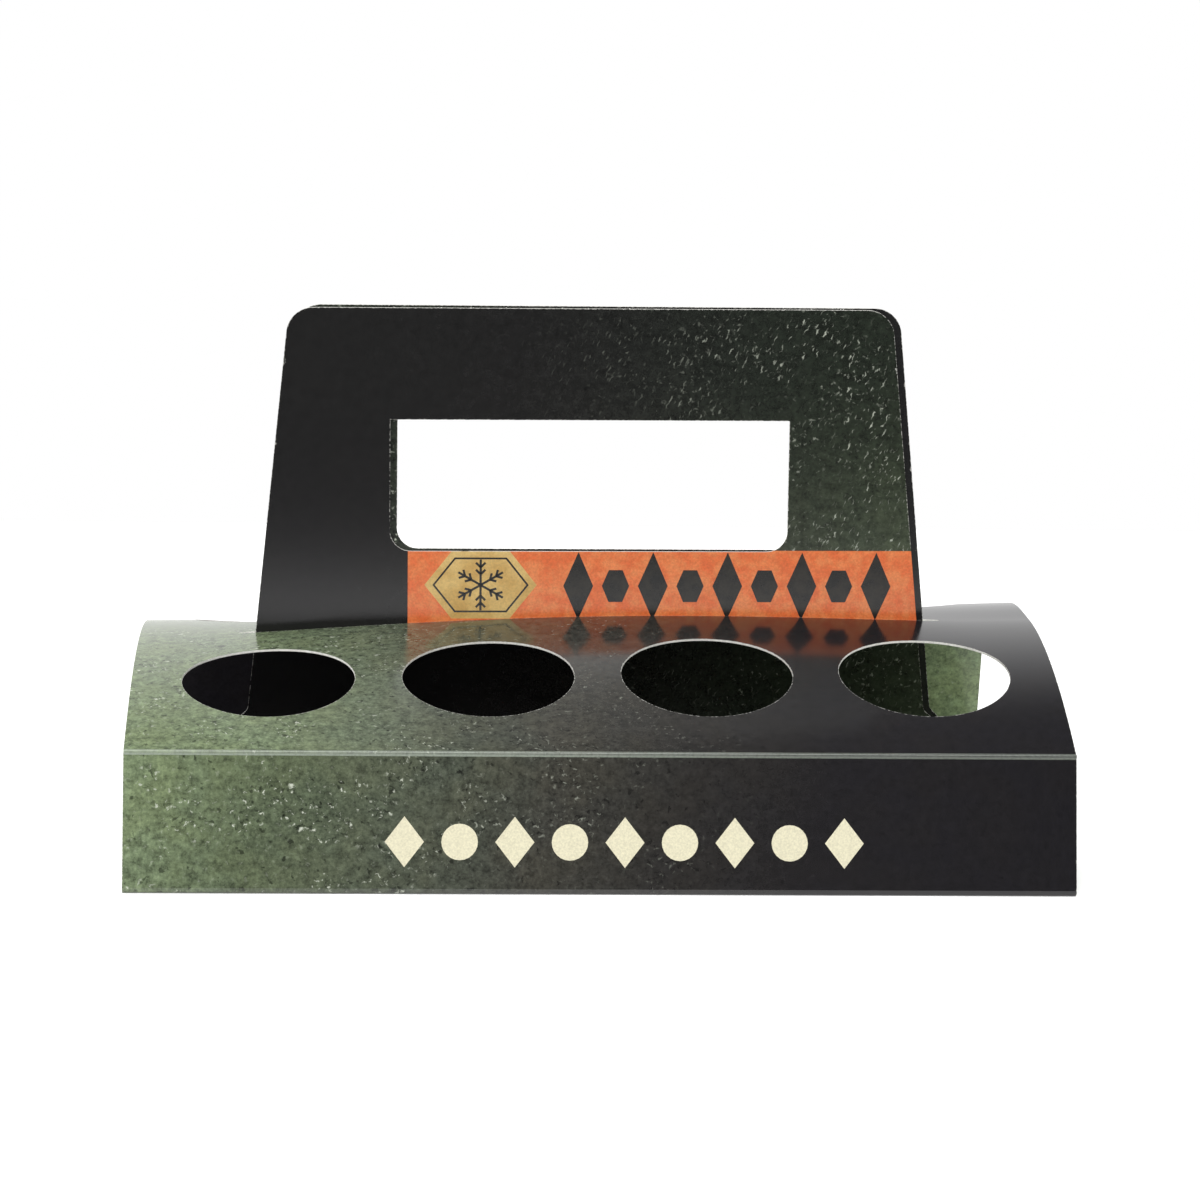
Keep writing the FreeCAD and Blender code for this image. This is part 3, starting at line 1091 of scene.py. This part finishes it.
stoneTree = frostedStone()
wornAndHighlightTree = wornEdgeAndHighlight()
outsidePrint = stonePrint("outsidePrint", -1, {
    "offset": 0.0,                    # millimetres by which the pattern is moved
    "grain": 1.0,
    "pits": 1.0,
    "strokes": 0.0,
    "wallShift": 8.0,                 # millimetres nearer to the black end at the foot of a wall
    "sway": 0.10,                     # how far the colours wander along the width
    # how much lighter the arch gets: partly paler print, partly painted light from above
    "archPrintAndLight": 0.54,
    "boxPaintedLight": 1.0,
    "deep": 0.80,                     # how black the handle gets, between these two heights
    "deepStart": 4.0,
    "deepRun": 60.0,
    "under": 0.0,
    "fleckRun": 0.72,                 # share of the width where the flecks end
    "fleck": 0.95,
    # strength of the pale fold line: rubbed print and a painted highlight
    "rubAndHighlight": 0.80,
})
insidePrint = stonePrint("insidePrint", 1, {
    "offset": 61.0,
    "grain": 0.9,
    "pits": 0.55,
    "strokes": 1.0,
    "wallShift": 0.0,
    "sway": 0.12,
    "archPrintAndLight": 0.0,
    # painted light inside the box, as a gain on its inner faces
    "boxPaintedLight": 1.9,
    "deep": 0.97,
    "deepStart": 10.0,
    "deepRun": 116.0,
    # painted shade on the centre walls under the arch
    "under": 0.85,
    "fleckRun": 0.62,
    "fleck": 0.80,
    "rubAndHighlight": 0.0,
})
cutBoard = flatInk("cutBoard", ink["board"], ink["chip"], 900.0, 0.85)
orangeBand = flatInk("orangeBand", ink["orange"], ink["orangeWorn"], 260.0, varnish["roughness"])
goldPlaque = flatInk("goldPlaque", ink["gold"], ink["goldDeep"], 120.0, 0.3)
darkMark = flatInk("darkMark", ink["mark"], ink["black"], 300.0, varnish["roughness"])
creamMark = flatInk("creamMark", ink["cream"], ink["cream"], 300.0, 0.35)
for material in (outsidePrint, insidePrint, cutBoard, orangeBand, goldPlaque, darkMark):
    carrier.data.materials.append(material)
printedPiece(carrier)
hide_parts("carrier_sheet")
print("print and varnish made")

markTree, markSockets = markRowTree()
wallTurn = (math.pi / 2 - lean, 0, 0)
plyTurn = (math.pi / 2, -math.radians(sheet["tilt"][-1]), 0)
markRow("wallMarks", wallRow, onFrontWall(wallRow["middle"], wallRow["height"]), wallTurn, creamMark)
markRow("bandMarks", bandRow, onFrontPly(bandRow["middle"], bandRow["height"]), plyTurn, darkMark)
snowCrystal("plaqueCrystal", darkMark)


def topEdge(side):
    # the line along a ply's top edge and down its right side, in metres
    top = sheet["topWidth"] / 2
    high = sheet["handleHeight"]
    places = [(-top - nicks["corner"][0][0], high)]
    places += [(top + x, high + z) for x, z in nicks["corner"]]
    spots = []
    for x, z in places:
        across, along = onPly(side, x, z)
        spots.append((across * mm, side * plyMiddle * mm, (plyZ + side * along - plyV) * mm))
    mesh = bpy.data.meshes.new("topEdge")
    mesh.from_pydata(spots, [(i, i + 1) for i in range(len(spots) - 1)], [])
    return mesh


nickGroup, nickSockets = nickTree()
for side, name in ((-1, "frontNicks"), (1, "rearNicks")):
    printedPiece(grownMesh(name, topEdge(side), nickGroup, nickSockets, {
        "Spacing": nicks["spacing"] * mm,
        "Share": nicks["share"],
        "Size": nicks["size"] * mm / 2,
        "Seed": nicks["seed"] + side,
        "Material": cutBoard,
    }))
print("marks and nicks laid")

# Studio: a pale floor, a pale wall behind, and one broad lamp above the viewer

studio = {
    "floorFront": -0.32,
    "floorBack": 0.42,
    "halfWidth": 1.6,
    "floorShade": 0.93,
    "floorGlow": 0.25,                # what the camera and the varnish see on top of its light
    "wallHeight": 0.69,
    "wallPlain": 0.23,                # height up to which the wall is at full strength
    "wallDim": 0.13,                  # its strength at the top, and of the room in the varnish
    "roomFill": 0.58,                 # strength with which the room lights the object
    "lampSize": 1.3,
    "lampPlace": (-0.2, -0.62, 1.3),
    "lampAim": (0, 0, 0.03),
    "lampPower": 24.5,
}


def stagePanel(name, corners, material):
    mesh = bpy.data.meshes.new(name)
    mesh.from_pydata(corners, [], [(0, 1, 2, 3)])
    mesh.materials.append(material)
    newObject(name, mesh)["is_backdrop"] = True


def paleFloor():
    # white enough for the camera and for the varnish, and it keeps the carrier's shadow
    material, tree, shader = newMaterial("paleFloor")
    shade = studio["floorShade"]
    rays = newNode(tree, "ShaderNodeLightPath").outputs
    seen = calc(tree, "MAXIMUM", rays["Is Camera Ray"], rays["Is Glossy Ray"])
    seen = calc(tree, "MAXIMUM", seen, rays["Is Transmission Ray"])
    fill(tree, shader, {
        "Base Color": (shade, shade, shade, 1),
        "Roughness": 0.9,
        "Specular IOR Level": 0.0,
        "Emission Color": (1, 1, 1, 1),
        "Emission Strength": product(tree, seen, studio["floorGlow"]),
    })
    return material


def paleWall():
    # lit wall: white for the camera everywhere, fading upwards for the varnish, and not
    # there at all from behind
    material, tree, shader = newMaterial("paleWall")
    place = newNode(tree, "ShaderNodeTexCoord").outputs["Object"]
    height = newNode(tree, "ShaderNodeSeparateXYZ", {"Vector": place}).outputs["Z"]
    glow = smooth(tree, height, studio["wallPlain"], studio["wallHeight"], 1.0, studio["wallDim"])
    rays = newNode(tree, "ShaderNodeLightPath").outputs
    behind = newNode(tree, "ShaderNodeNewGeometry").outputs["Backfacing"]
    fill(tree, shader, {
        "Base Color": (0, 0, 0, 1),
        "Specular IOR Level": 0.0,
        "Emission Color": (1, 1, 1, 1),
        "Emission Strength": calc(tree, "MAXIMUM", rays["Is Camera Ray"], glow),
        "Alpha": calc(tree, "SUBTRACT", 1.0, behind),
    })
    return material


wide, near, far, high = (studio[key] for key in ("halfWidth", "floorFront", "floorBack", "wallHeight"))
stagePanel("floor", [(-wide, near, 0), (wide, near, 0), (wide, far, 0), (-wide, far, 0)], paleFloor())
stagePanel("backWall", [(-wide, far, 0), (wide, far, 0), (wide, far, high), (-wide, far, high)], paleWall())

lamp = bpy.data.lights.new("softBox", "AREA")
lamp.shape = "SQUARE"
lamp.size = studio["lampSize"]
lamp.energy = studio["lampPower"]
lampObject = newObject("softBox", lamp)
lampObject.location = studio["lampPlace"]
aim = Vector(studio["lampAim"]) - lampObject.location
lampObject.rotation_euler = aim.to_track_quat("-Z", "Y").to_euler()

world = bpy.data.worlds.new("room")
bpy.context.scene.world = world
world.use_nodes = True
room = world.node_tree
rays = newNode(room, "ShaderNodeLightPath").outputs
dim, plain = studio["wallDim"], studio["roomFill"]
brightness = calc(room, "MULTIPLY_ADD", rays["Is Camera Ray"], 1 - plain, plain)
brightness = calc(room, "MULTIPLY_ADD", rays["Is Glossy Ray"], dim - plain, brightness)
fill(room, room.nodes["Background"], {"Color": (1, 1, 1, 1), "Strength": brightness})
bpy.context.scene.view_settings.view_transform = "Standard"
print("studio lit")

view = {
    "place": (-57.5, -984.3, 236.5),  # millimetres
    "focal": 4160.8,                  # in pixels
    "picture": 1200,                  # pixels across
    "pitch": 0.1841,                  # radians
    "yaw": 0.0614,
    "roll": 0.0191,
}
camera = bpy.data.cameras.new("camera")
cameraObject = newObject("camera", camera)
camera.sensor_width = 36
camera.lens = camera.sensor_width * view["focal"] / view["picture"]
pitch, yaw, roll = view["pitch"], view["yaw"], view["roll"]
aheadAxis = Vector((math.sin(yaw) * math.cos(pitch), math.cos(yaw) * math.cos(pitch), -math.sin(pitch)))
level = Vector((math.cos(yaw), -math.sin(yaw), 0))
above = level.cross(aheadAxis)
rightAxis = math.cos(roll) * level + math.sin(roll) * above
upAxis = -math.sin(roll) * level + math.cos(roll) * above
axes = Matrix((rightAxis, upAxis, -aheadAxis)).transposed()
cameraObject.matrix_world = Matrix.Translation(Vector(view["place"]) * mm) @ axes.to_4x4()
bpy.context.scene.camera = cameraObject

low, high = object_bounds()
